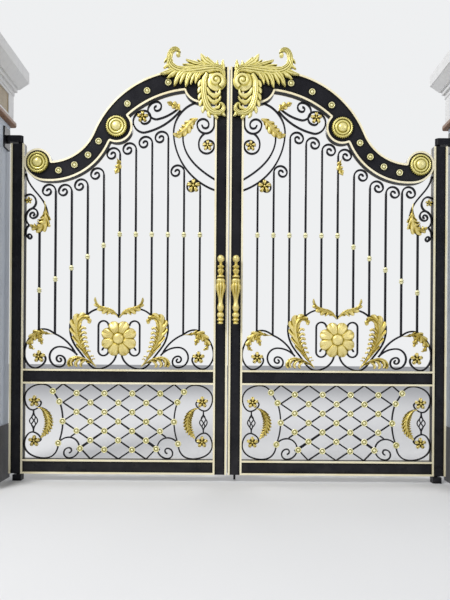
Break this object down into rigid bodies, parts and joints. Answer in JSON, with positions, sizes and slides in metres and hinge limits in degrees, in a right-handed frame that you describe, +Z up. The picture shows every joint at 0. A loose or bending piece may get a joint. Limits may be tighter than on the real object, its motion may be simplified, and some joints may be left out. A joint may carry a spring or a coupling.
{
  "type": "driveway gate",
  "caption": "Double-leaf wrought iron driveway gate, black with gold castings, between masonry pillars: S-curved heads, curled bars, acanthus crest, lattice lower panels, drop bolt.",
  "frame": {"origin": "middle of the bounding box's bottom face, on the ground midway between the two pillars", "axes": "+Z up; +Y into the drive, away from the street, the way both leaves swing; +X to the right as seen from the street"},
  "size_m": [4.25, 0.65, 3.0473],
  "materials": {
    "black_paint": "satin",
    "pale_gold_trim": "satin",
    "gold_casting": "satin",
    "dark_stone": "polished",
    "pale_stone": "honed",
    "brown_stone": "honed",
    "cream_stone": "honed"
  },
  "bodies": {
    "pillars": {"left_pillar_plinth": "dark_stone", "left_pillar_shaft": "pale_stone", "left_pillar_moulding": "brown_stone", "left_pillar_capital": "cream_stone", "left_hinge_bracket": "black_paint", "left_pivot_block": "black_paint", "right_pillar_plinth": "dark_stone", "right_pillar_shaft": "pale_stone", "right_pillar_moulding": "brown_stone", "right_pillar_capital": "cream_stone", "right_hinge_bracket": "black_paint", "right_pivot_block": "black_paint"},
    "left_leaf": {"left_meeting_stile": "black_paint", "left_hinge_stile": "black_paint", "left_rails": "black_paint", "left_arch_head": "black_paint", "left_trims": "pale_gold_trim", "left_bars": "black_paint", "left_collars": "gold_casting", "left_scrolls": "black_paint", "left_lattice": "black_paint", "left_studs": "gold_casting", "left_medallions": "gold_casting", "left_flowers": "gold_casting", "left_leaves": "gold_casting", "left_crest": "gold_casting", "left_handle": "gold_casting"},
    "right_leaf": {"right_meeting_stile": "black_paint", "right_hinge_stile": "black_paint", "right_rails": "black_paint", "right_arch_head": "black_paint", "right_trims": "pale_gold_trim", "right_bars": "black_paint", "right_collars": "gold_casting", "right_scrolls": "black_paint", "right_lattice": "black_paint", "right_studs": "gold_casting", "right_medallions": "gold_casting", "right_flowers": "gold_casting", "right_leaves": "gold_casting", "right_crest": "gold_casting", "right_handle": "gold_casting", "right_bolt_guides": "black_paint"},
    "drop_bolt": {"right_drop_bolt": "black_paint"}
  },
  "joints": [
    {"name": "left_leaf_hinge", "type": "hinge", "parent": "pillars", "child": "left_leaf", "pos_m": [-1.472, 0.145, 0], "axis": [0, 0, 1], "range_deg": [0, 90]},
    {"name": "right_leaf_hinge", "type": "hinge", "parent": "pillars", "child": "right_leaf", "pos_m": [1.472, 0.145, 0], "axis": [0, 0, -1], "range_deg": [0, 90]},
    {"name": "drop_bolt_slide", "type": "slide", "parent": "right_leaf", "child": "drop_bolt", "axis": [0, 0, 1], "range_m": [0, 0.1]}
  ]
}
